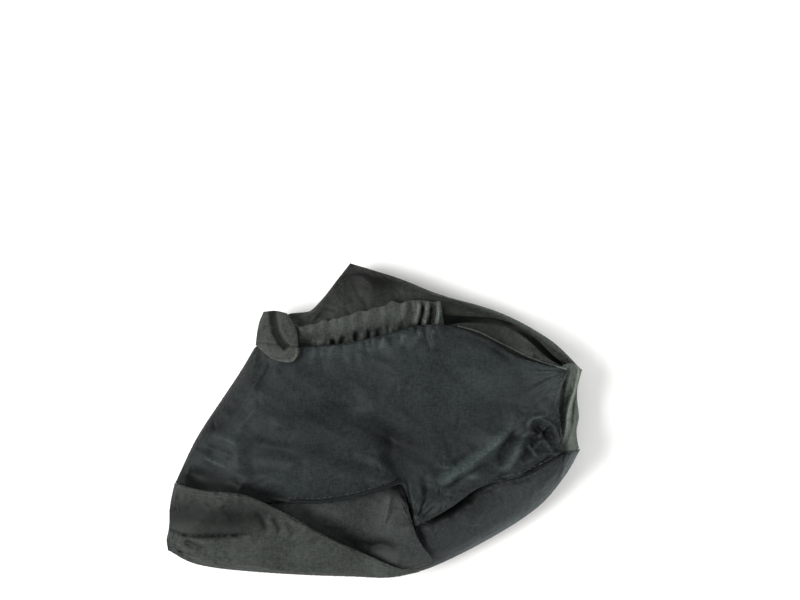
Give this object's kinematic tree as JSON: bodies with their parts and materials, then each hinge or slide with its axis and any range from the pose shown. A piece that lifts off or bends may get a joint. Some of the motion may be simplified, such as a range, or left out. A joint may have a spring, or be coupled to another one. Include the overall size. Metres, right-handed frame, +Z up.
{
  "type": "folded inflatable elizabethan pet collar",
  "caption": "Soft inflatable elizabethan collar for a pet, let down and folded flat, with a gathered neck edge and overlapping folded plies of dark cloth.",
  "frame": {"origin": "under the middle of the folded outline, on the surface that it lies on", "axes": "+X to the right along the folded length, +Y towards the peak, +Z up out of the surface"},
  "size_m": [0.1784, 0.1342, 0.031],
  "materials": {
    "sleeve_cloth": "dark charcoal-green woven polyester, semi-matt",
    "back_cloth": "dark olive-grey woven polyester, semi-matt",
    "neck_cloth": "dark grey-green woven polyester, gathered, with a soft sheen",
    "roll_cloth": "dark charcoal woven polyester, smooth over the roll, with a pale sheen at its rim",
    "front_cloth": "dark charcoal-green woven polyester, semi-matt, softly creased",
    "welt": "dark stitched welt",
    "flap_cloth": "dark grey-green woven polyester, semi-matt, with fine creases"
  },
  "bodies": {
    "root": {"under_sleeve": "sleeve_cloth", "back_sleeve": "sleeve_cloth", "back_rim": "back_cloth", "neck_wall": "neck_cloth", "right_tuck": "sleeve_cloth", "outer_roll": "roll_cloth", "middle_fold": "sleeve_cloth", "neck_gathers": "neck_cloth", "front_sleeve": "front_cloth", "rim_welt": "welt", "corner_tab": "neck_cloth", "end_flap": "flap_cloth"}
  },
  "joints": []
}
